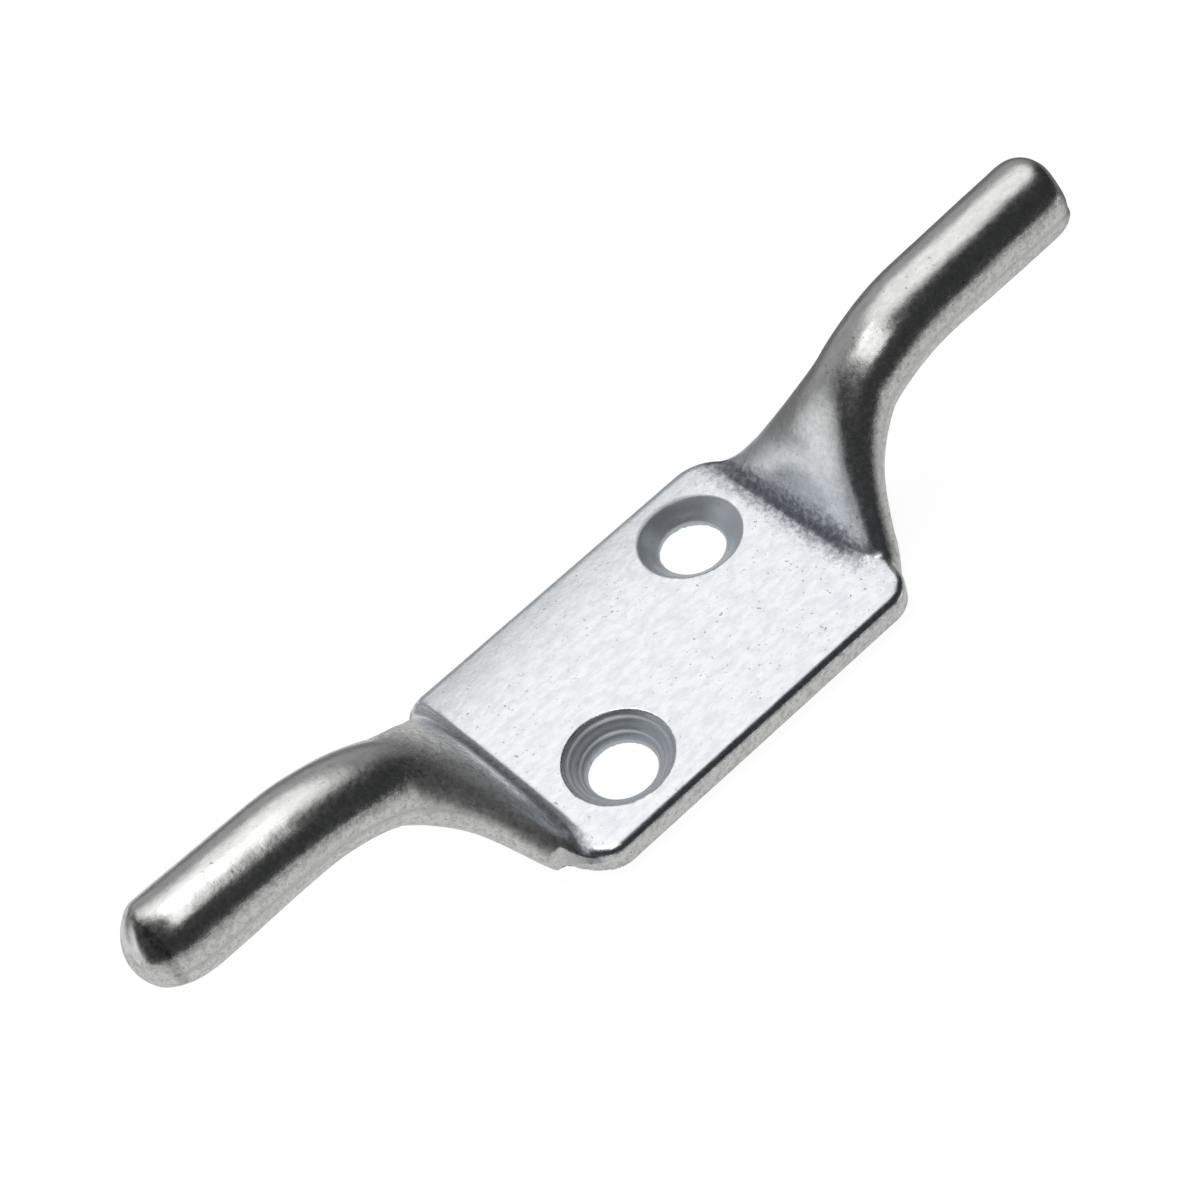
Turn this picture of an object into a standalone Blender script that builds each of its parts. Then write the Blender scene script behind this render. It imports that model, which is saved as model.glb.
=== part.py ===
"""Cast cleat hook: a flat base plate with two countersunk screw holes, and a horn rising from each end.

Everything is in metres. +Z points out of the mounting surface, +X runs along the horns, and the origin is
the middle of the plate's flat back. The casting is one solid: the plate and the two horns are joined, the
back is ground flat, and the screw holes are drilled and countersunk from the front.
"""

import math

import bmesh
import bpy

# Overall sizes
OVERALL_LENGTH = 0.100
HORN_AXIS_HEIGHT = 0.0142
HORN_RADIUS = 0.0039

# Base plate
PLATE_LENGTH = 0.0366
PLATE_WIDTH = 0.0256
PLATE_THICKNESS = 0.0024
PLATE_CORNER_RADIUS = 0.0032
PLATE_EDGE_RADIUS = 0.0004

# Screw holes, on one diagonal of the plate, for a 5 mm or No. 10 countersunk screw
HOLE_X = 0.0098
HOLE_Y = 0.0062
HOLE_RADIUS = 0.00295
COUNTERSINK_RADIUS = 0.0047
COUNTERSINK_ANGLE = math.radians(90)

# Centre line of a horn: it leaves the plate low, bends up the neck, and bends over into the horn
NECK_START_X = 0.0162
NECK_START_Z = 0.0005
NECK_START_ANGLE = math.radians(9)
NECK_SLOPE = math.radians(61)
ROOT_BEND_RADIUS = 0.0040
SHOULDER_BEND_RADIUS = 0.0164
HORN_RISE = math.radians(1)

# Sections of a horn: as wide as the plate at its root, and round from the end of the neck outwards
NECK_LENGTH = 0.0150
ROOT_HALF_WIDTH = 0.01275
FLARE_POWER = 1.4
ROOT_HALF_THICKNESS = 0.0013
NECK_HALF_THICKNESS = 0.0032
ROOT_SQUARENESS = 6
ROUND_SQUARENESS = 2.15
SQUARENESS_FADE = 1.5
TIP_LENGTH = 0.0032
TIP_POWER = 2.5

# Resolution of the faceted solid
SHAFT_STATIONS = 24
TIP_STATIONS = 6
SECTION_POINTS = 28
CORNER_SEGMENTS = 6
HOLE_SEGMENTS = 32

# How far the tools reach past the casting, so that no two faces coincide
OVERCUT = 0.002
MERGE_DISTANCE = 0.00005

ZINC_COLOUR = (0.66, 0.68, 0.70, 1.0)
ZINC_ROUGHNESS = 0.35


def clear_scene():
    for thing in list(bpy.data.objects):
        bpy.data.objects.remove(thing, do_unlink=True)


def new_collection(name):
    collection = bpy.data.collections.new(name)
    bpy.context.scene.collection.children.link(collection)
    return collection


def zinc():
    """Bright zinc plating over the casting."""
    material = bpy.data.materials.new("zinc_plating")
    material.use_nodes = True
    shader = material.node_tree.nodes["Principled BSDF"]
    shader.inputs["Base Color"].default_value = ZINC_COLOUR
    shader.inputs["Roughness"].default_value = ZINC_ROUGHNESS
    shader.inputs["Metallic"].default_value = 1.0
    return material


def make_tool(thing):
    """Marks an object as one that shapes the casting and isn't part of it."""
    thing.hide_render = True
    thing.display_type = "WIRE"


def object_from(bm, name, collection):
    mesh = bpy.data.meshes.new(name)
    bm.to_mesh(mesh)
    bm.free()
    thing = bpy.data.objects.new(name, mesh)
    collection.objects.link(thing)
    return thing


def line_runs():
    """Lengths of the centre line's four runs: root bend, straight neck, shoulder bend and straight horn."""
    root_bend = ROOT_BEND_RADIUS * (NECK_SLOPE - NECK_START_ANGLE)
    root_rise = ROOT_BEND_RADIUS * (math.cos(NECK_START_ANGLE) - math.cos(NECK_SLOPE))
    root_reach = ROOT_BEND_RADIUS * (math.sin(NECK_SLOPE) - math.sin(NECK_START_ANGLE))
    shoulder_bend = SHOULDER_BEND_RADIUS * (NECK_SLOPE - HORN_RISE)
    shoulder_rise = SHOULDER_BEND_RADIUS * (math.cos(HORN_RISE) - math.cos(NECK_SLOPE))
    shoulder_reach = SHOULDER_BEND_RADIUS * (math.sin(NECK_SLOPE) - math.sin(HORN_RISE))
    straight_rise = HORN_AXIS_HEIGHT - NECK_START_Z - root_rise - shoulder_rise
    straight = straight_rise / math.sin(NECK_SLOPE)
    bent_reach = NECK_START_X + root_reach + straight * math.cos(NECK_SLOPE) + shoulder_reach
    horn = (OVERALL_LENGTH / 2 - bent_reach) / math.cos(HORN_RISE)
    return root_bend, straight, shoulder_bend, horn


def centre_line(distance):
    """(x, z, slope angle) of the centre line at a distance along it."""
    root_bend, straight, shoulder_bend, _ = line_runs()
    along = min(distance, root_bend)
    angle = NECK_START_ANGLE + along / ROOT_BEND_RADIUS
    x = NECK_START_X + ROOT_BEND_RADIUS * (math.sin(angle) - math.sin(NECK_START_ANGLE))
    z = NECK_START_Z + ROOT_BEND_RADIUS * (math.cos(NECK_START_ANGLE) - math.cos(angle))
    along = min(max(distance - root_bend, 0), straight)
    x += along * math.cos(NECK_SLOPE)
    z += along * math.sin(NECK_SLOPE)
    along = min(max(distance - root_bend - straight, 0), shoulder_bend)
    if along:
        angle = NECK_SLOPE - along / SHOULDER_BEND_RADIUS
        x += SHOULDER_BEND_RADIUS * (math.sin(NECK_SLOPE) - math.sin(angle))
        z += SHOULDER_BEND_RADIUS * (math.cos(angle) - math.cos(NECK_SLOPE))
    along = max(distance - root_bend - straight - shoulder_bend, 0)
    x += along * math.cos(HORN_RISE)
    z += along * math.sin(HORN_RISE)
    return x, z, angle


def section_size(distance, length):
    """(half width, half thickness, squareness) of the section at a distance along the centre line."""
    left = max(1 - distance / NECK_LENGTH, 0)
    flare = 1 - (1 - left**FLARE_POWER) ** (1 / FLARE_POWER)
    half_width = HORN_RADIUS + (ROOT_HALF_WIDTH - HORN_RADIUS) * flare
    if distance < NECK_LENGTH:
        share = distance / NECK_LENGTH
        ease = share * share * (3 - 2 * share)
        half_thickness = ROOT_HALF_THICKNESS + (NECK_HALF_THICKNESS - ROOT_HALF_THICKNESS) * ease
    else:
        share = (distance - NECK_LENGTH) / (length - NECK_LENGTH)
        half_thickness = NECK_HALF_THICKNESS + (HORN_RADIUS - NECK_HALF_THICKNESS) * share
    squareness = ROUND_SQUARENESS + (ROOT_SQUARENESS - ROUND_SQUARENESS) * left**SQUARENESS_FADE
    into_tip = max(distance - (length - TIP_LENGTH), 0) / TIP_LENGTH
    shrink = max(1 - into_tip**TIP_POWER, 0) ** (1 / TIP_POWER)
    return half_width * shrink, half_thickness * shrink, squareness


def superellipse(half_width, half_thickness, squareness):
    """Points of one section, as (across, normal) pairs."""
    points = []
    for step in range(SECTION_POINTS):
        turn = 2 * math.pi * step / SECTION_POINTS
        cos, sin = math.cos(turn), math.sin(turn)
        across = math.copysign(abs(cos) ** (2 / squareness), cos) * half_width
        normal = math.copysign(abs(sin) ** (2 / squareness), sin) * half_thickness
        points.append((across, normal))
    return points


def station_distances(length):
    """Even steps along the horn, then steps that close up as the tip rounds over."""
    shaft = length - TIP_LENGTH
    distances = [shaft * step / SHAFT_STATIONS for step in range(SHAFT_STATIONS + 1)]
    for step in range(1, TIP_STATIONS + 1):
        turn = 0.5 * math.pi * step / (TIP_STATIONS + 0.5)
        distances.append(shaft + TIP_LENGTH * math.sin(turn))
    return distances


def make_horns(collection):
    """The horn at +X is a loft from the plate's flat section to a round bar. Mirror adds the other one."""
    length = sum(line_runs())
    bm = bmesh.new()
    rings = []
    for distance in station_distances(length):
        x, z, angle = centre_line(distance)
        ring = []
        for across, normal in superellipse(*section_size(distance, length)):
            place = (x - normal * math.sin(angle), across, z + normal * math.cos(angle))
            ring.append(bm.verts.new(place))
        rings.append(ring)
    bm.faces.new(reversed(rings[0]))
    for inner, outer in zip(rings, rings[1:]):
        for step in range(SECTION_POINTS):
            after = (step + 1) % SECTION_POINTS
            bm.faces.new((inner[step], inner[after], outer[after], outer[step]))
    tip_x, tip_z, _ = centre_line(length)
    tip = bm.verts.new((tip_x, 0, tip_z))
    for step in range(SECTION_POINTS):
        bm.faces.new((rings[-1][step], rings[-1][(step + 1) % SECTION_POINTS], tip))
    bmesh.ops.recalc_face_normals(bm, faces=bm.faces)
    horns = object_from(bm, "horns", collection)
    mirror = horns.modifiers.new("second_horn", "MIRROR")
    mirror.use_mirror_merge = False
    make_tool(horns)
    return horns


def make_plate(collection):
    """A block with rounded corners and softened front edges. It runs below Z = 0, for the back to be ground."""
    bm = bmesh.new()
    bmesh.ops.create_cube(bm, size=1)
    height = PLATE_THICKNESS + OVERCUT
    bmesh.ops.scale(bm, vec=(PLATE_LENGTH, PLATE_WIDTH, height), verts=bm.verts)
    bmesh.ops.translate(bm, vec=(0, 0, PLATE_THICKNESS - height / 2), verts=bm.verts)
    upright = [edge for edge in bm.edges if abs(edge.verts[0].co.z - edge.verts[1].co.z) > height / 2]
    bmesh.ops.bevel(
        bm,
        geom=upright,
        offset=PLATE_CORNER_RADIUS,
        segments=CORNER_SEGMENTS,
        profile=0.5,
        affect="EDGES",
    )
    plate = object_from(bm, "cleat_casting", collection)
    rounding = plate.modifiers.new("front_edges", "BEVEL")
    rounding.width = PLATE_EDGE_RADIUS
    rounding.segments = 2
    rounding.limit_method = "ANGLE"
    rounding.angle_limit = math.radians(60)
    return plate


def make_hole_cutter(name, place, collection):
    """Turned drill and countersink: its profile runs down the outer side, and both ends lie on the axis."""
    cone_drop = (COUNTERSINK_RADIUS - HOLE_RADIUS) / math.tan(COUNTERSINK_ANGLE / 2)
    top_radius = COUNTERSINK_RADIUS + OVERCUT * math.tan(COUNTERSINK_ANGLE / 2)
    profile = (
        (0, PLATE_THICKNESS + OVERCUT),
        (top_radius, PLATE_THICKNESS + OVERCUT),
        (HOLE_RADIUS, PLATE_THICKNESS - cone_drop),
        (HOLE_RADIUS, -OVERCUT),
        (0, -OVERCUT),
    )
    bm = bmesh.new()
    verts = [bm.verts.new((radius, 0, z)) for radius, z in profile]
    for upper, lower in zip(verts, verts[1:]):
        bm.edges.new((upper, lower))
    cutter = object_from(bm, name, collection)
    cutter.location = (place[0], place[1], 0)
    turn = cutter.modifiers.new("turn", "SCREW")
    turn.steps = HOLE_SEGMENTS
    turn.render_steps = HOLE_SEGMENTS
    turn.use_merge_vertices = True
    turn.merge_threshold = MERGE_DISTANCE
    make_tool(cutter)
    return cutter


def make_grinder(collection):
    """A block whose top is the plane of the back. It takes away all that lies below it."""
    bm = bmesh.new()
    bmesh.ops.create_cube(bm, size=1)
    depth = 3 * OVERCUT
    bmesh.ops.scale(bm, vec=(OVERALL_LENGTH, 2 * PLATE_WIDTH, depth), verts=bm.verts)
    bmesh.ops.translate(bm, vec=(0, 0, -depth / 2), verts=bm.verts)
    grinder = object_from(bm, "back_grinder", collection)
    make_tool(grinder)
    return grinder


def apply_boolean(thing, other, operation):
    boolean = thing.modifiers.new(other.name, "BOOLEAN")
    boolean.operation = operation
    boolean.solver = "EXACT"
    boolean.object = other


def main():
    clear_scene()
    parts = new_collection("cleat_hook")
    tools = new_collection("shaping_tools")
    tools.hide_render = True
    casting = make_plate(parts)
    apply_boolean(casting, make_horns(tools), "UNION")
    apply_boolean(casting, make_grinder(tools), "DIFFERENCE")
    for side, name in ((1, "rear_hole_cutter"), (-1, "front_hole_cutter")):
        cutter = make_hole_cutter(name, (side * HOLE_X, side * HOLE_Y), tools)
        apply_boolean(casting, cutter, "DIFFERENCE")
    casting.data.materials.append(zinc())
    casting.data.shade_smooth()
    casting.data.set_sharp_from_angle(angle=math.radians(35))


main()
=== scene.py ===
"""Looks of the cast cleat hook: its surface, its zinc finish, and the studio round it.

The casting is meshed from a distance field: a plate, two swept horns, fillets where they meet, and the
drilled holes. Lengths are in metres. The field uses the CAD's own sizes, and its overall size is read
from the frame. +Y is the back. A pair of sizes is for +X and for -X, and a pair of pairs is for the back
and for the front, unless a comment says otherwise.
"""

import math

import bmesh
import bpy
import numpy as np
from mathutils import Matrix, Vector, noise


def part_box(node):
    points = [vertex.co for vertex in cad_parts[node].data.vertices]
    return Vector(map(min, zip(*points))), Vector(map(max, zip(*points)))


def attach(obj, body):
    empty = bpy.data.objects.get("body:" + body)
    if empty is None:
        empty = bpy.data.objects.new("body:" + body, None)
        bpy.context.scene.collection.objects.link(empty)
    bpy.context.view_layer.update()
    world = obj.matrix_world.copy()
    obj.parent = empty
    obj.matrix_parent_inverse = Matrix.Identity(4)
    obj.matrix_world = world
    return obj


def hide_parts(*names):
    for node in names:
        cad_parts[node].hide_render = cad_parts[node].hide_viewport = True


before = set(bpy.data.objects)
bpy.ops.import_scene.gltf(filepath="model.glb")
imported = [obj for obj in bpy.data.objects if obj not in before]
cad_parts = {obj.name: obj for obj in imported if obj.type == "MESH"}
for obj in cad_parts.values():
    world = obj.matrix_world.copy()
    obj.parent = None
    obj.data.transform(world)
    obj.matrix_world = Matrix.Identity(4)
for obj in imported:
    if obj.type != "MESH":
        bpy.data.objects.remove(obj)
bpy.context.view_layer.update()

CASTING = "cleat_casting"
LOW, HIGH = (np.array(corner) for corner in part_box(CASTING))
HALF_LENGTH = (HIGH[0] - LOW[0]) / 2
HALF_WIDTH = (HIGH[1] - LOW[1]) / 2
HEIGHT = HIGH[2] - LOW[2]
MM = 0.001

# Plate
PLATE_HALF_LENGTH = 18.3 * MM
PLATE_THICKNESS = 2.4 * MM
CORNER_RADII = ((4.4 * MM, 3.0 * MM), (3.2 * MM, 2.8 * MM))  # each corner was dressed by hand
END_SLANTS = (-0.55 * MM, 0.6 * MM)  # how much shorter it is at -X: at the back, and at the front
EDGE_SHIFTS = (-0.05 * MM, 0.25 * MM)  # how far the back and the front edge stand out past the CAD's
TOP_EDGE_RADIUS = 0.8 * MM
BOTTOM_EDGE_RADIUS = 0.12 * MM
CROWN_START = 4.0 * MM  # from here to the back edge, the top falls away
CROWN_DROP = 0.66 * MM
CROWN_TWIST = 0.15 * MM  # the back edge is this much lower at -X and higher at +X

# Screw holes, on one diagonal
HOLE_X = 9.8 * MM
HOLE_Y = 6.2 * MM
HOLE_RADIUS = 2.95 * MM
COUNTERSINK_RADIUS = 4.7 * MM
HOLE_EDGE_RADIUS = 0.1 * MM
RING_PITCH = 0.85 * MM
RING_DEPTHS = (0.010 * MM, 0.07 * MM)  # cutter rings in the countersinks

# Horns: the centre line, from inside the plate's end up the neck and over the shoulder
NECK_START = (16.3 * MM, 0.5 * MM)  # x and z
NECK_START_ANGLE = math.radians(7)
NECK_SLOPE = math.radians(62.5)
ROOT_BEND_RADIUS = 3.7 * MM
SHOULDER_BEND_RADIUS = 16.6 * MM
HORN_RISE = math.radians(1.3)
HORN_AXIS_HEIGHT = 14.1 * MM
BEND_BLEND = 2.38 * MM
BOWS = (-0.12 * MM, 0.3 * MM)  # sideways

# Horns: the section, from a flat wide root to a round horn
HORN_RADIUS = 3.95 * MM
NECK_LENGTH = 15.0 * MM
ROOT_HALF_WIDTHS = (12.8 * MM, 13.8 * MM)
FLARE_POWERS = (1.33, 1.17)
ROOT_HALF_THICKNESS = 1.9 * MM
NECK_HALF_THICKNESS = 3.15 * MM
HORN_SWELL_START = 0.6 * NECK_LENGTH
ROOT_SINK = 0.6 * MM  # the very start of each horn stays inside the plate
ROOT_SINK_LENGTH = 1.5 * MM
ROOT_SQUARENESS = 4.5
ROUND_SQUARENESS = 2.05
SQUARENESS_FADE = 4.0

# Horns: the root's outline, which follows the plate's rounded corners
SHOULDER_STARTS = ((13.9 * MM, 14.9 * MM), (15.0 * MM, 14.9 * MM))  # |x| where the root starts to narrow
SHOULDER_CURVES = ((0.145 / MM, 0.20 / MM), (0.125 / MM, 0.20 / MM))  # times the square of how far past it
SHOULDER_LENGTH = 4.0 * MM
UNDERCUT_START = 17.5 * MM  # from here out, the underside of the -X root climbs at this slope
UNDERCUT_SLOPE = math.radians(26)
UNDERCUT_LENGTH = 4.0 * MM

# Tip at +X: rounded off. The mould halves don't quite meet, and the lower one reaches further
TIP_LENGTH = 3.3 * MM
TIP_POWER = 3.4
LIP_STEP = 0.30 * MM
LIP_HEIGHTS = (-0.95 * MM, -0.25 * MM)  # from the lower half to the upper one, over the centre line
LIP_FADE = 2.5 * MM  # the step is on the front only, and whole from this far out

# Tip at -X: dressed to a blunt nose, which leaves a ridge round it
NOSE_LENGTH = 5.2 * MM
NOSE_RADIUS = 4.5 * MM
RIDGE_RADIUS = 0.12 * MM
RIDGE_AT = 0.97  # share of the horn's radius
DROOP_LENGTH = 6.5 * MM  # the rod rounds over a little before the ridge, mostly on its front half
DROOP_DEPTH = 2.2 * MM
DROOP_FADE = (-1.5 * MM, 2.5 * MM)  # it fades out between these y

# Where plate and horns meet
CREASE_FILLET = 0.4 * MM
CREASE_FILLET_GROWTH = 0.8 * MM  # it grows to that over this height, up to the plate's top
LEAST_FILLET = 0.01 * MM

# Unevenness of the hand-dressed casting: how deep, and how far from one low to the next
HORN_WAVES = ((0.05 * MM, 4.5 * MM), (0.012 * MM, 1.3 * MM))
PLATE_WAVES = ((0.012 * MM, 5 * MM), (0.003 * MM, 1.2 * MM))
WAVE_HEIGHTS = (0.2 * MM, 0.8 * MM)  # it grows between these heights, so that the bottom stays flat
HORN_BLEND = 3 * MM  # length over which the plate's surface turns into the horn's

# Mesh, and the map of the centre line
PITCH = 0.30 * MM
COARSE_STEPS = 2  # Newton steps onto the surface, before and after the mesh is refined
FINE_STEPS = 4
GRADIENT_STEP = 0.02 * MM
LEAST_SQUARED_SLOPE = 0.05
LINE_STEP = 0.02 * MM
MAP_PITCH = 0.15 * MM
MAP_MARGIN = 3 * MM
MAP_START = 8 * MM
FINE_TIPS = (3 * MM, 5 * MM)  # the mesh is twice as fine over this length of each tip
FINE_CREASE = 1.5 * MM  # and this far to both sides of a crease


# ---------------------------------------------------------------- the casting's distance field


def smooth_step(value, low, high):
    """0 up to low, 1 from high on, and smooth between them."""
    share = np.clip((value - low) / (high - low), 0, 1)
    return share * share * (3 - 2 * share)


def fade_out(value, low, high):
    """1 up to low, 0 from high on, and smooth between them."""
    return smooth_step(-value, -high, -low)


def at_corner(x, y, pairs):
    """The value for the corner of the hook that each point is in."""
    back, front = pairs
    return np.where(y > 0, np.where(x > 0, *back), np.where(x > 0, *front))


def round_union(a, b, radius):
    """Union of two distances with a fillet of this radius where they meet."""
    inner = np.hypot(np.maximum(radius - a, 0), np.maximum(radius - b, 0))
    return np.maximum(radius, np.minimum(a, b)) - inner


def round_cut(a, b, radius):
    """Intersection of two distances with its edge rounded to this radius."""
    outer = np.hypot(np.maximum(radius + a, 0), np.maximum(radius + b, 0))
    return np.minimum(-radius, np.maximum(a, b)) + outer


def centre_line():
    """Stations along a horn's centre line, run on past its tip: distance, x, z and slope angle."""
    root_bend = ROOT_BEND_RADIUS * (NECK_SLOPE - NECK_START_ANGLE)
    shoulder_bend = SHOULDER_BEND_RADIUS * (NECK_SLOPE - HORN_RISE)
    rise = ROOT_BEND_RADIUS * (math.cos(NECK_START_ANGLE) - math.cos(NECK_SLOPE))
    rise += SHOULDER_BEND_RADIUS * (math.cos(HORN_RISE) - math.cos(NECK_SLOPE))
    straight = (HORN_AXIS_HEIGHT - NECK_START[1] - rise) / math.sin(NECK_SLOPE)
    bends = np.cumsum([0, root_bend, straight, shoulder_bend])
    distance = np.arange(0, 1.2 * HALF_LENGTH, LINE_STEP)
    angle = np.interp(distance, bends, [NECK_START_ANGLE, NECK_SLOPE, NECK_SLOPE, HORN_RISE])
    window = np.hanning(round(BEND_BLEND / LINE_STEP))
    before = len(window) // 2
    angle = np.pad(angle, (before, len(window) - 1 - before), mode="edge")
    angle = np.convolve(angle, window / window.sum(), "valid")
    step = np.diff(distance)
    middle = (angle[1:] + angle[:-1]) / 2
    x = NECK_START[0] + np.concatenate(([0], np.cumsum(step * np.cos(middle))))
    z = NECK_START[1] + np.concatenate(([0], np.cumsum(step * np.sin(middle))))
    return distance, x, z, angle


LINE = centre_line()
HORN_LENGTH = float(np.interp(HALF_LENGTH, LINE[1], LINE[0]))
RIDGE_SHARE = math.sqrt(1 - (RIDGE_AT * HORN_RADIUS / NOSE_RADIUS) ** 2)  # of the nose's length
RIDGE_PLACE = HORN_LENGTH - NOSE_LENGTH * (1 - RIDGE_SHARE)
MAP_LOW = np.array([MAP_START, -MAP_MARGIN])
MAP_HIGH = np.array([HALF_LENGTH + MAP_MARGIN, HEIGHT + MAP_MARGIN])
MAP_SIZE = tuple(int(count) for count in (MAP_HIGH - MAP_LOW) / MAP_PITCH)


def nearest_station_map():
    """For a grid of (x, z): the distance along the centre line, and how far above it."""
    distance, line_x, line_z, angle = LINE
    x = MAP_LOW[0] + MAP_PITCH * np.arange(MAP_SIZE[0])
    z = MAP_LOW[1] + MAP_PITCH * np.arange(MAP_SIZE[1])
    along = np.empty(MAP_SIZE)
    above = np.empty(MAP_SIZE)
    for row, x_here in enumerate(x):
        gap = (x_here - line_x) ** 2 + (z[:, None] - line_z) ** 2
        nearest = gap.argmin(axis=1)
        dx = x_here - line_x[nearest]
        dz = z - line_z[nearest]
        turn = angle[nearest]
        along[row] = distance[nearest] + dx * np.cos(turn) + dz * np.sin(turn)
        above[row] = dz * np.cos(turn) - dx * np.sin(turn)
    return along, above


STATION_MAP = nearest_station_map()


def to_horn(x, z):
    """(distance along, distance above) the centre line for points at |x| and z, read from the map."""
    # points off the map take the value at its border, inside its last cell
    u = np.clip((np.abs(x) - MAP_LOW[0]) / MAP_PITCH, 0, MAP_SIZE[0] - 1.001)
    v = np.clip((z - MAP_LOW[1]) / MAP_PITCH, 0, MAP_SIZE[1] - 1.001)
    i, j = u.astype(int), v.astype(int)
    u, v = u - i, v - j
    found = []
    for values in STATION_MAP:
        near = values[i, j] * (1 - u) + values[i + 1, j] * u
        far = values[i, j + 1] * (1 - u) + values[i + 1, j + 1] * u
        found.append(near * (1 - v) + far * v)
    return found


def section_size(along, x):
    """Half width, half thickness and squareness of the horn's section at a distance along it."""
    left = np.clip(1 - along / NECK_LENGTH, 0, 1)
    power = np.where(x > 0, *FLARE_POWERS)
    flare = 1 - (1 - left**power) ** (1 / power)
    half_width = HORN_RADIUS + (np.where(x > 0, *ROOT_HALF_WIDTHS) - HORN_RADIUS) * flare
    neck_swell = (NECK_HALF_THICKNESS - ROOT_HALF_THICKNESS) * smooth_step(along, 0, NECK_LENGTH)
    sink = ROOT_SINK * fade_out(along, 0, ROOT_SINK_LENGTH)
    horn_swell = (HORN_RADIUS - NECK_HALF_THICKNESS) * smooth_step(along, HORN_SWELL_START, HORN_LENGTH)
    half_thickness = ROOT_HALF_THICKNESS + neck_swell - sink + horn_swell
    squareness = ROUND_SQUARENESS + (ROOT_SQUARENESS - ROUND_SQUARENESS) * left**SQUARENESS_FADE
    return half_width, half_thickness, squareness


def section_field(along, above, x, y):
    """A value that is 1 on the outline of the horn's section, and its slopes across and up."""
    half_width, half_thickness, squareness = section_size(along, x)
    # the small numbers here and at the nose keep the slopes finite on the centre line
    a = np.abs(y) / half_width + 1e-9
    b = np.abs(above) / half_thickness + 1e-9
    r = (a**squareness + b**squareness) ** (1 / squareness)
    slope_a = (a / r) ** (squareness - 1) / half_width
    slope_b = (b / r) ** (squareness - 1) / half_thickness
    return r, slope_a, slope_b


def rounded_horn(along, above, y, section):
    """Distance to the horn at +X, whose tip is rounded off with a step across its front."""
    r, slope_a, slope_b = section
    lip = LIP_STEP * smooth_step(above, *LIP_HEIGHTS) * smooth_step(-y, 0, LIP_FADE)
    u = np.clip((along + lip - (HORN_LENGTH - TIP_LENGTH)) / TIP_LENGTH, 0, None)
    whole = (r**TIP_POWER + u**TIP_POWER) ** (1 / TIP_POWER)
    slope_r = (r / whole) ** (TIP_POWER - 1)
    slope_u = (u / whole) ** (TIP_POWER - 1) / TIP_LENGTH
    slope = np.sqrt(slope_r**2 * (slope_a**2 + slope_b**2) + slope_u**2)
    return (whole - 1) / slope


def blunt_horn(along, above, y, section):
    """Distance to the horn at -X, whose tip is cut by an ellipsoid, the nose."""
    r, slope_a, slope_b = section
    droop = np.clip((along - (HORN_LENGTH - DROOP_LENGTH)) / DROOP_LENGTH, 0, None)
    rod = (r - 1) / np.hypot(slope_a, slope_b) + DROOP_DEPTH * droop**3 * fade_out(y, *DROOP_FADE)
    nose_u = np.maximum(along - (HORN_LENGTH - NOSE_LENGTH), 0) / NOSE_LENGTH
    nose_r = np.hypot(y, above) / NOSE_RADIUS + 1e-6
    nose = np.hypot(nose_u, nose_r)
    nose = (nose - 1) * nose / np.hypot(nose_u / NOSE_LENGTH, nose_r / NOSE_RADIUS)
    return np.where(nose_u > 0, round_cut(rod, nose, RIDGE_RADIUS), rod)


def root_bounds(along, x, y, z):
    """Distance past what bounds a horn's root: its start, its sides and, at -X, its drafted foot."""
    past = np.clip(np.abs(x) - at_corner(x, y, SHOULDER_STARTS), 0, SHOULDER_LENGTH)
    reach = HALF_WIDTH + np.where(y > 0, *EDGE_SHIFTS) - at_corner(x, y, SHOULDER_CURVES) * past**2
    sides = np.maximum(np.abs(y) - reach, -along)
    foot = np.clip(-x - UNDERCUT_START, 0, UNDERCUT_LENGTH)
    undercut = foot * math.sin(UNDERCUT_SLOPE) - z * math.cos(UNDERCUT_SLOPE)
    return np.where(foot > 0, np.maximum(sides, undercut), sides)


def horn_field(x, y, z):
    along, above = to_horn(x, z)
    y = y - np.where(x > 0, *BOWS) * np.sin(np.pi * np.clip(along / HORN_LENGTH, 0, 1))
    section = section_field(along, above, x, y)
    rounded = rounded_horn(along, above, y, section)
    blunt = blunt_horn(along, above, y, section)
    return np.maximum(np.where(x > 0, rounded, blunt), root_bounds(along, x, y, z))


def plate_field(x, y, z):
    corner_radius = at_corner(x, y, CORNER_RADII)
    back_slant, front_slant = END_SLANTS
    slant = back_slant + (front_slant - back_slant) * smooth_step(-y, -HALF_WIDTH, HALF_WIDTH)
    slant = slant * (x < 0)
    corner_x = np.abs(x) - (PLATE_HALF_LENGTH - slant - corner_radius)
    corner_y = np.abs(y) - (HALF_WIDTH + np.where(y > 0, *EDGE_SHIFTS) - corner_radius)
    outline = np.hypot(np.maximum(corner_x, 0), np.maximum(corner_y, 0)) - corner_radius
    outline = outline + np.minimum(np.maximum(corner_x, corner_y), 0)
    drop = CROWN_DROP - CROWN_TWIST * x / PLATE_HALF_LENGTH
    crown = drop * (np.clip(y - CROWN_START, 0, None) / (HALF_WIDTH - CROWN_START)) ** 2
    return round_cut(outline, z - PLATE_THICKNESS + crown, TOP_EDGE_RADIUS)


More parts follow.
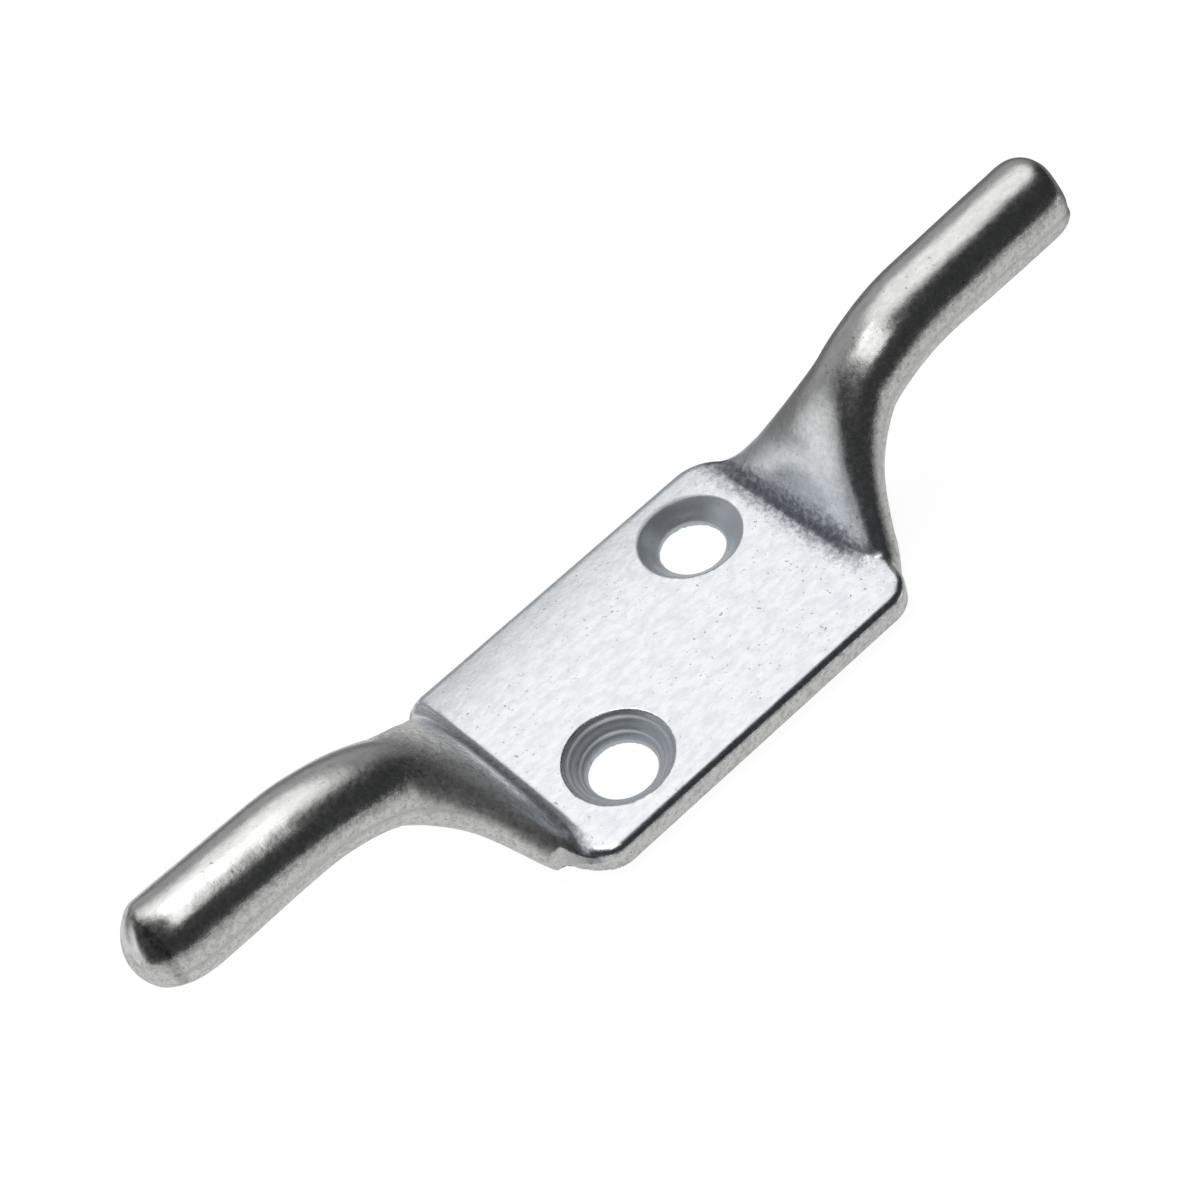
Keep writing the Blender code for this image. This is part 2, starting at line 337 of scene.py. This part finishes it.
def hole_field(x, y, z):
    """Distance to the two drilled and countersunk holes: below 0 inside them."""
    both = None
    for side, depth in zip((1, -1), RING_DEPTHS):
        radius = np.hypot(x - side * HOLE_X, y - side * HOLE_Y)
        cone = (radius - COUNTERSINK_RADIUS + PLATE_THICKNESS - z) * math.sqrt(0.5)
        rings = depth * np.sin(2 * np.pi * (radius - COUNTERSINK_RADIUS) / RING_PITCH)
        cone = cone + rings * (radius < COUNTERSINK_RADIUS)
        cone = np.maximum(cone, radius - COUNTERSINK_RADIUS - PITCH)
        hole = np.minimum(radius - HOLE_RADIUS, cone)
        both = hole if both is None else np.minimum(both, hole)
    return both


def field(x, y, z):
    """Distance to the casting's surface, near it: below 0 inside."""
    plate = plate_field(x, y, z)
    horn = horn_field(x, y, z)
    growth = smooth_step(z, PLATE_THICKNESS - CREASE_FILLET_GROWTH, PLATE_THICKNESS)
    body = round_union(plate, horn, CREASE_FILLET * growth + LEAST_FILLET)
    body = round_cut(body, -hole_field(x, y, z), HOLE_EDGE_RADIUS)
    return round_cut(body, -z, BOTTOM_EDGE_RADIUS)


def gradient(points):
    x, y, z = points.T
    e = GRADIENT_STEP
    slopes = (
        field(x + e, y, z) - field(x - e, y, z),
        field(x, y + e, z) - field(x, y - e, z),
        field(x, y, z + e) - field(x, y, z - e),
    )
    return np.stack(slopes, axis=1) / (2 * e)


def settle(points, steps):
    """Moves points onto the surface where the field is zero."""
    for _ in range(steps):
        slope = gradient(points)
        value = field(*points.T)
        move = slope * (value / np.maximum((slope**2).sum(axis=1), LEAST_SQUARED_SLOPE))[:, None]
        points = points - np.clip(move, -PITCH / 2, PITCH / 2)
    return points


# ---------------------------------------------------------------- meshing


def sampled_field(low, high):
    """The field on a grid over this box."""
    counts = np.ceil((high - low) / PITCH).astype(int) + 1
    axes = [low[axis] + PITCH * np.arange(counts[axis]) for axis in range(3)]
    values = np.empty(counts, np.float32)
    for row, x in enumerate(axes[0]):
        y, z = np.meshgrid(axes[1], axes[2], indexing="ij")
        values[row] = field(np.full_like(y, x), y, z)
    return values


def net_points(values):
    """A point in each cell that the surface crosses, in cells, and the grid of the points' numbers."""
    inside = values < 0
    cells = tuple(np.array(values.shape) - 1)
    total = np.zeros(cells + (3,))
    hits = np.zeros(cells)
    span = [slice(0, -1), slice(1, None)]
    for axis in range(3):
        others = [other for other in range(3) if other != axis]
        for first in (0, 1):
            for second in (0, 1):
                at = [None] * 3
                at[axis] = span[0]
                at[others[0]] = span[first]
                at[others[1]] = span[second]
                start = tuple(at)
                at[axis] = span[1]
                end = tuple(at)
                crossed = inside[start] != inside[end]
                gap = np.where(crossed, values[start] - values[end], 1)
                share = np.where(crossed, values[start] / gap, 0)
                total[..., axis] += share
                total[..., others[0]] += crossed * first
                total[..., others[1]] += crossed * second
                hits += crossed
    used = hits > 0
    number = np.full(cells, -1)
    number[used] = np.arange(used.sum())
    return np.argwhere(used) + total[used] / hits[used][:, None], number


def net_quads(inside, number):
    """A quad round each edge of the grid that the surface crosses, from the four cells at that edge."""
    quads = []
    for axis in range(3):
        after, last = (axis + 1) % 3, (axis + 2) % 3
        start = [slice(1, -1)] * 3
        start[axis] = slice(0, -1)
        end = list(start)
        end[axis] = slice(1, None)
        first, second = inside[tuple(start)], inside[tuple(end)]
        for flip, crossed in ((False, first & ~second), (True, ~first & second)):
            edge = np.argwhere(crossed)
            edge[:, after] += 1
            edge[:, last] += 1
            corners = []
            for step_after, step_last in ((1, 1), (0, 1), (0, 0), (1, 0)):
                cell = edge.copy()
                cell[:, after] -= step_after
                cell[:, last] -= step_last
                corners.append(number[tuple(cell.T)])
            quads.append(np.stack(corners[::-1] if flip else corners, axis=1))
    return np.concatenate(quads)


def surface_net(low, high):
    """Points and quads of the surface in this box: one point in each cell that it crosses."""
    values = sampled_field(low, high)
    points, number = net_points(values)
    return low + PITCH * points, net_quads(values < 0, number)


def refine(points, quads, near):
    """Splits the faces near a feature, so that a small shape there has enough vertices."""
    bm = bmesh.new()
    verts = [bm.verts.new(point) for point in points]
    for quad in quads:
        bm.faces.new([verts[i] for i in quad])
    edges = [edge for edge in bm.edges if near(*edge.verts[0].co) and near(*edge.verts[1].co)]
    bmesh.ops.subdivide_edges(bm, edges=edges, cuts=1, use_grid_fill=True)
    return bm


def near_feature(x, y, z):
    """Whether a point is near a hole, the plate's long edges, a crease or a tip."""
    for side in (1, -1):
        if math.hypot(x - side * HOLE_X, y - side * HOLE_Y) < COUNTERSINK_RADIUS + PITCH:
            return True
    if abs(y) > HALF_WIDTH - 2 * PITCH or x > HALF_LENGTH - FINE_TIPS[0] or x < FINE_TIPS[1] - HALF_LENGTH:
        return True
    return z > PLATE_THICKNESS / 2 and abs(abs(x) - PLATE_HALF_LENGTH) < FINE_CREASE


def waves(points, kinds):
    """Height of gentle unevenness at each point."""
    height = np.zeros(len(points))
    for depth, span in kinds:
        height += depth * np.array([noise.noise(Vector(point / span)) for point in points])
    return height


# ---------------------------------------------------------------- where each finish is

# Band of plate next to each neck, rougher, and darker: its dark colour is painted shade in the crease
CREASE_EDGE = 17.0 * MM  # |x| of its darkest line
CREASE_EDGE_BOW = 0.6 * MM  # which is this much further out at the corners
CREASE_BANDS = (3.8 * MM, 1.4 * MM)  # how far it reaches over the plate
CREASE_CLIMBS = (1.2 * MM, 2.4 * MM)  # and up the neck
CREASE_OVERLAP = 0.1 * MM
CREASE_ENDS = (-12 * MM, -4 * MM)  # it starts between these y, or at -X between their opposites
CREASE_STRENGTHS = (0.94, 0.6)

# Root of the horn at -X, rough from the mould: |x| where it starts, and where it fades out
ROUGH_ROOT_START = (17.6 * MM, 19 * MM)
ROUGH_ROOT_END = (22 * MM, 32 * MM)
ROOT_DULLING = 0.62

# Parting line of the mould: how far out on the section, and how far along the horn, it comes in
SEAM_WIDTH = 0.22 * MM
SEAM_STRENGTH = 0.6
SEAM_SIDES = (0.75, 0.9)  # shares of the half width
SEAM_START = (6 * MM, 14 * MM)

# Dark line on the ridge round the nose at -X: how far past the ridge it starts and ends, and from what
# height over the centre line to what height it comes in
RIDGE_START = (-0.2 * MM, 0.1 * MM)
RIDGE_END = (0.4 * MM, 0.9 * MM)
RIDGE_HEIGHTS = (-3 * MM, -1 * MM)

COUNTERSINK_RIM = (-0.1 * MM, 0.05 * MM)  # the machined finish ends between these distances past the rim
BED_BLEND = 2 * MM  # the bed turns from level to the neck's slope over this length


def crease_shade_mask(points):
    """Up to 1 on the band of plate next to each neck, where shade is painted into the crease; 0 elsewhere.
    """
    x, y, z = points.T
    inward = CREASE_EDGE + CREASE_EDGE_BOW * (y / HALF_WIDTH) ** 2 - np.abs(x)
    band = fade_out(inward, 0, np.where(x > 0, *CREASE_BANDS)) ** 2
    band *= smooth_step(inward, -np.where(x > 0, *CREASE_CLIMBS), CREASE_OVERLAP)
    band *= smooth_step(np.where(x > 0, y, -y), *CREASE_ENDS) * (z > PLATE_THICKNESS / 2)
    return band * np.where(x > 0, *CREASE_STRENGTHS)


def root_mask(points):
    """1 on the root of the horn at -X, which was left rough from the mould; 0 elsewhere."""
    away = -points[:, 0]
    return smooth_step(away, *ROUGH_ROOT_START) * fade_out(away, *ROUGH_ROOT_END)


def countersink_mask(points):
    """1 on the machined cones and bores."""
    x, y, _ = points.T
    inside = np.zeros(len(points))
    for side in (1, -1):
        past_rim = np.hypot(x - side * HOLE_X, y - side * HOLE_Y) - COUNTERSINK_RADIUS
        inside = np.maximum(inside, fade_out(past_rim, *COUNTERSINK_RIM))
    return inside


def seam_mask(points):
    """Up to 1 along the parting line on the sides of the horns, and along the ridge round the -X nose."""
    x, y, z = points.T
    along, above = to_horn(x, z)
    half_width = section_size(along, x)[0]
    side = smooth_step(np.abs(y) / half_width, *SEAM_SIDES) * smooth_step(along, *SEAM_START)
    parting = np.exp(-((above / SEAM_WIDTH) ** 2)) * side
    past = along - RIDGE_PLACE
    ridge = smooth_step(past, *RIDGE_START) * fade_out(past, *RIDGE_END) * (x < 0)
    return np.maximum(SEAM_STRENGTH * parting, ridge * smooth_step(above, *RIDGE_HEIGHTS))


def normal_from_bed(points, normal):
    """How far each normal turns up: 1 along the top of plate and horns, 0 at their sides."""
    x, _, z = points.T
    along = to_horn(x, z)[0]
    slope = np.interp(along, LINE[0], LINE[3])
    slope = slope * smooth_step(np.abs(x), NECK_START[0], NECK_START[0] + BED_BLEND)
    return normal[:, 2] * np.cos(slope) - normal[:, 0] * np.sign(x) * np.sin(slope)


def add_layer(mesh, name, values):
    """A value on each vertex, for the material to read."""
    layer = mesh.attributes.new(name, "FLOAT", "POINT")
    layer.data.foreach_set("value", np.asarray(values, np.float32))


def casting_piece():
    margin = 3 * PITCH
    points, quads = surface_net(LOW - margin, HIGH + margin)
    bm = refine(settle(points, COARSE_STEPS), quads, near_feature)
    mesh = bpy.data.meshes.new("casting_surface")
    bm.to_mesh(mesh)
    bm.free()
    flat = np.empty(3 * len(mesh.vertices))
    mesh.vertices.foreach_get("co", flat)
    points = settle(flat.reshape(-1, 3), FINE_STEPS)
    normal = gradient(points)
    normal /= np.linalg.norm(normal, axis=1)[:, None]
    on_horn = smooth_step(np.abs(points[:, 0]), PLATE_HALF_LENGTH, PLATE_HALF_LENGTH + HORN_BLEND)
    # the material darkens the surface where this is low: painted shade on the underside, along with the
    # rougher as-cast finish
    add_layer(mesh, "up", normal_from_bed(points, normal) * (1 - ROOT_DULLING * root_mask(points)))
    add_layer(mesh, "on_horn", on_horn)
    add_layer(mesh, "crease", crease_shade_mask(points))
    add_layer(mesh, "machined", countersink_mask(points))
    add_layer(mesh, "seam", seam_mask(points))
    height = waves(points, PLATE_WAVES) * (1 - on_horn) + waves(points, HORN_WAVES) * on_horn
    height *= smooth_step(points[:, 2], *WAVE_HEIGHTS)
    points = points + normal * height[:, None]
    mesh.vertices.foreach_set("co", points.ravel())
    mesh.update()
    mesh.shade_smooth()
    piece = bpy.data.objects.new("zinc_plated_casting", mesh)
    bpy.context.scene.collection.objects.link(piece)
    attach(piece, "root")
    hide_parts(CASTING)
    return piece


# ---------------------------------------------------------------- materials

# Noise: scale per metre, detail, roughness
GRAIN = (2400, 2, 0.5)
GRIT = (1900, 5, 0.75)
MOTTLE = (1300, 5, 0.65)
PATCHES = (130, 3, 0.6)
SPECKS = (2700, 2, 0.5)
MOTTLE_STRETCH = (0.45, 1.0, 1.0)  # the plate was ground lengthways

# Colours. Those in pairs are the darker and the lighter one that the noise mixes
GROUND = ((0.755, 0.79, 0.825), (0.875, 0.905, 0.93))
RUBBED = ((0.70, 0.70, 0.685), (0.82, 0.82, 0.805))
# darker colour where the surface turns down: partly the duller as-cast finish, partly painted shade on the
# underside
DULL_AND_UNDERSIDE_SHADE = ((0.52, 0.52, 0.505), (0.84, 0.84, 0.825))
MACHINED = (0.69, 0.74, 0.79)
SEAM = (0.20, 0.20, 0.18)
# painted shade in the crease next to each neck
CREASE_SHADE = (0.19, 0.21, 0.245)
SPECK = (0.16, 0.16, 0.16)

BRIGHT_ROUGHNESS = (0.21, 0.28)  # with the grain, from the one to the other
CAST_ROUGHNESS = 0.16  # these three are added to it
CREASE_ROUGHNESS = 0.2
MACHINED_ROUGHNESS = 0.2
MACHINED_METALLIC = 0.6
BUMP_STRENGTH = 0.25
BUMP_DISTANCE = 0.04 * MM
ROUGH_BUMP = 2.5  # how much stronger the bump is where the surface is as cast


class Shading:
    """Short ways to add nodes to a material or a world.

    A value that goes into a node is a number, a colour, a direction or the output of another node.
    """

    def __init__(self, owner):
        owner.use_nodes = True
        self.tree = owner.node_tree

    def link(self, value, socket):
        if isinstance(value, bpy.types.NodeSocket):
            self.tree.links.new(value, socket)
        else:
            socket.default_value = value

    def add(self, kind, inputs, **settings):
        node = self.tree.nodes.new("ShaderNode" + kind)
        for name, value in settings.items():
            setattr(node, name, value)
        for key, value in inputs.items():
            self.link(value, node.inputs[key])
        return node

    def noise(self, scale, detail, roughness, at):
        inputs = {"Scale": scale, "Detail": detail, "Roughness": roughness, "Vector": at}
        return self.add("TexNoise", inputs).outputs["Fac"]

    def layer(self, name):
        return self.add("Attribute", {}, attribute_name=name).outputs["Fac"]

    def ranged(self, value, low, high, to_low=0.0, to_high=1.0):
        """Turns values from low to high into values from to_low to to_high, smoothly."""
        inputs = {"Value": value, "From Min": low, "From Max": high, "To Min": to_low, "To Max": to_high}
        return self.add("MapRange", inputs, interpolation_type="SMOOTHSTEP").outputs["Result"]

    def maths(self, operation, a, b):
        return self.add("Math", {0: a, 1: b}, operation=operation).outputs[0]

    def mixed(self, amount, a, b):
        """Colour a where the amount is 0, and b where it is 1."""
        a, b = ((*value, 1) if isinstance(value, tuple) else value for value in (a, b))
        node = self.add("Mix", {"Factor": amount, "A": a, "B": b}, data_type="RGBA")
        return node.outputs["Result"]

    def facing(self, vector, axis):
        """How far a vector reaches along an axis."""
        node = self.add("VectorMath", {0: vector, 1: axis}, operation="DOT_PRODUCT")
        return node.outputs["Value"]


def zinc_material():
    material = bpy.data.materials.new("bright_zinc_plating")
    make = Shading(material)
    shader = material.node_tree.nodes["Principled BSDF"]
    place = make.add("TexCoord", {}).outputs["Object"]
    drawn_out = make.add("Mapping", {"Vector": place, "Scale": MOTTLE_STRETCH}).outputs["Vector"]
    grain = make.noise(*GRAIN, place)
    grit = make.noise(*GRIT, place)
    mottle = make.noise(*MOTTLE, drawn_out)
    patches = make.noise(*PATCHES, place)

    # as cast, with painted shade: where the surface turns down from the bed it is rougher, and its darker
    # colour is painted shade on the underside. The grit frays this, the crease and the seam
    as_cast_and_underside_shade = make.maths("ADD", make.layer("up"), make.ranged(grit, 0.3, 0.7, -0.10, 0.10))
    as_cast_and_underside_shade = make.ranged(as_cast_and_underside_shade, 0.30, 0.48, 1.0, 0.0)
    # painted shade in the crease, frayed by the grit; the band is also rougher
    crease = make.maths("ADD", make.layer("crease"), make.ranged(grit, 0.3, 0.7, -0.25, 0.25))
    in_band = make.ranged(make.layer("crease"), 0.0, 0.2)
    crease = make.maths("MULTIPLY", make.ranged(crease, 0.0, 1.1), in_band)
    machined = make.layer("machined")
    seam = make.maths("MULTIPLY", make.layer("seam"), make.ranged(grit, 0.40, 0.60, 0.05, 0.8))
    specks = make.ranged(make.noise(*SPECKS, place), 0.66, 0.74)
    specks = make.maths("MULTIPLY", specks, make.ranged(patches, 0.35, 0.65, 0.1, 0.75))
    pits = make.maths("MULTIPLY", make.ranged(grit, 0.57, 0.68, 0.0, 0.65), as_cast_and_underside_shade)
    specks = make.maths("MAXIMUM", specks, pits)

    ground = make.mixed(make.ranged(mottle, 0.35, 0.65), *GROUND)
    rubbed = make.mixed(make.ranged(mottle, 0.35, 0.65), *RUBBED)
    dull_and_underside_shade = make.mixed(make.ranged(grit, 0.35, 0.65), *DULL_AND_UNDERSIDE_SHADE)
    colour = make.mixed(make.layer("on_horn"), ground, rubbed)
    coats = ((as_cast_and_underside_shade, dull_and_underside_shade), (machined, MACHINED), (seam, SEAM), (crease, CREASE_SHADE), (specks, SPECK))
    for amount, coat in coats:
        colour = make.mixed(amount, colour, coat)
    make.link(colour, shader.inputs["Base Color"])

    rough = make.ranged(grain, 0.3, 0.7, *BRIGHT_ROUGHNESS)
    extras = ((as_cast_and_underside_shade, CAST_ROUGHNESS), (crease, CREASE_ROUGHNESS), (machined, MACHINED_ROUGHNESS))
    for amount, extra in extras:
        rough = make.maths("ADD", rough, make.maths("MULTIPLY", amount, extra))
    make.link(rough, shader.inputs["Roughness"])
    make.link(make.ranged(machined, 0.0, 1.0, 1.0, MACHINED_METALLIC), shader.inputs["Metallic"])

    rougher = make.maths("MULTIPLY", make.maths("MAXIMUM", as_cast_and_underside_shade, crease), grit)
    height = make.maths("ADD", grain, make.maths("MULTIPLY", rougher, ROUGH_BUMP))
    bump = make.add("Bump", {"Strength": BUMP_STRENGTH, "Distance": BUMP_DISTANCE, "Height": height})
    make.link(bump.outputs["Normal"], shader.inputs["Normal"])
    return material


# ---------------------------------------------------------------- studio

# The pale floor glows evenly in the picture. In reflections it is a white card in front of the casting,
# and the card ends behind it
FLOOR_SIZE = 6
FLOOR_GAP = 0.1 * MM
FLOOR_FINISH = {
    "Base Color": (0.35, 0.35, 0.35, 1),
    "Roughness": 0.9,
    "Specular IOR Level": 0.1,
    "Emission Color": (1, 1, 1, 1),
}
FLOOR_GLOW_SEEN = 0.90
CARD_DIRECTION = (0.50, 0.87, 0)
CARD_FADE = (0.018, 0.036)  # how far that way its glow starts and stops falling
CARD_GLOW = (0.60, 0.05)  # from the one to the other

# Soft light from all round: direction of each patch of sky, angles from there in degrees where the patch
# starts and stops fading, brightness
SKY_DARK = (0.030, 0.031, 0.032)
SKY_PATCHES = (
    ((0.25, 0.46, 0.85), 12, 39, (1.08, 1.08, 1.08)),
    ((-0.89, 0.45, 0.00), 3, 42, (0.85, 0.86, 0.88)),
    ((0.10, 1.00, 0.25), 20, 75, (0.34, 0.34, 0.35)),
)

# A small strip light over the -X end, near enough that only that end mirrors it
STRIP_PLACE = (-0.034, 0.005, 0.170)
STRIP_SIZE = (0.060, 0.160)
STRIP_BRIGHTNESS = 1.3


def floor():
    bpy.ops.mesh.primitive_plane_add(size=FLOOR_SIZE, location=(0, 0, LOW[2] - FLOOR_GAP))
    thing = bpy.context.object
    thing.name = "studio_floor"
    material = bpy.data.materials.new("pale_floor")
    make = Shading(material)
    shader = material.node_tree.nodes["Principled BSDF"]
    for socket, value in FLOOR_FINISH.items():
        shader.inputs[socket].default_value = value
    away = make.facing(make.add("TexCoord", {}).outputs["Object"], CARD_DIRECTION)
    card = make.ranged(away, *CARD_FADE, *CARD_GLOW)
    to_camera = make.add("LightPath", {}).outputs["Is Camera Ray"]
    glow = make.add("MapRange", {"Value": to_camera, "To Min": card, "To Max": FLOOR_GLOW_SEEN})
    make.link(glow.outputs["Result"], shader.inputs["Emission Strength"])
    thing.data.materials.append(material)


def sky():
    world = bpy.data.worlds.new("studio")
    make = Shading(world)
    direction = make.add("TexCoord", {}).outputs["Generated"]
    total = SKY_DARK
    for axis, start, stop, brightness in SKY_PATCHES:
        near = make.facing(direction, Vector(axis).normalized())
        fade = make.ranged(near, math.cos(math.radians(stop)), math.cos(math.radians(start)))
        patch = make.add("VectorMath", {0: brightness}, operation="SCALE")
        make.link(fade, patch.inputs["Scale"])
        both = make.add("VectorMath", {0: total, 1: patch.outputs["Vector"]}, operation="MAXIMUM")
        total = both.outputs["Vector"]
    make.link(total, world.node_tree.nodes["Background"].inputs["Color"])
    bpy.context.scene.world = world


def strip_light():
    strip = bpy.data.lights.new("strip_light", "AREA")
    strip.shape = "RECTANGLE"
    strip.size, strip.size_y = STRIP_SIZE
    strip.energy = STRIP_BRIGHTNESS * math.pi * STRIP_SIZE[0] * STRIP_SIZE[1]
    lamp = bpy.data.objects.new("strip_light", strip)
    lamp.location = STRIP_PLACE
    lamp.visible_camera = False
    bpy.context.scene.collection.objects.link(lamp)


# ---------------------------------------------------------------- camera

VIEW_AZIMUTH = math.radians(-26.55)
VIEW_ELEVATION = math.radians(48.64)
VIEW_ROLL = math.radians(-20.27)
VIEW_DISTANCE = 0.2201
LENS = 79.2
SENSOR_WIDTH = 36
CLIP_START = 0.01
AIM_RIGHT = -5.02 * MM  # the camera's axis passes this far to the right of the origin, and above it
AIM_UP = 4.975 * MM


def camera():
    level = Vector((math.cos(VIEW_AZIMUTH), math.sin(VIEW_AZIMUTH), 0))
    back = Vector(
        (
            math.sin(VIEW_AZIMUTH) * math.cos(VIEW_ELEVATION),
            -math.cos(VIEW_AZIMUTH) * math.cos(VIEW_ELEVATION),
            math.sin(VIEW_ELEVATION),
        )
    )
    right = Matrix.Rotation(VIEW_ROLL, 3, back) @ level
    up = back.cross(right)
    data = bpy.data.cameras.new("camera")
    data.lens = LENS
    data.sensor_width = SENSOR_WIDTH
    data.clip_start = CLIP_START
    thing = bpy.data.objects.new("camera", data)
    thing.matrix_world = Matrix((right, up, back)).transposed().to_4x4()
    thing.location = AIM_RIGHT * right + AIM_UP * up + VIEW_DISTANCE * back
    bpy.context.scene.collection.objects.link(thing)
    bpy.context.scene.camera = thing


piece = casting_piece()
piece.data.materials.append(zinc_material())
floor()
sky()
strip_light()
camera()
bpy.context.scene.view_settings.view_transform = "Standard"
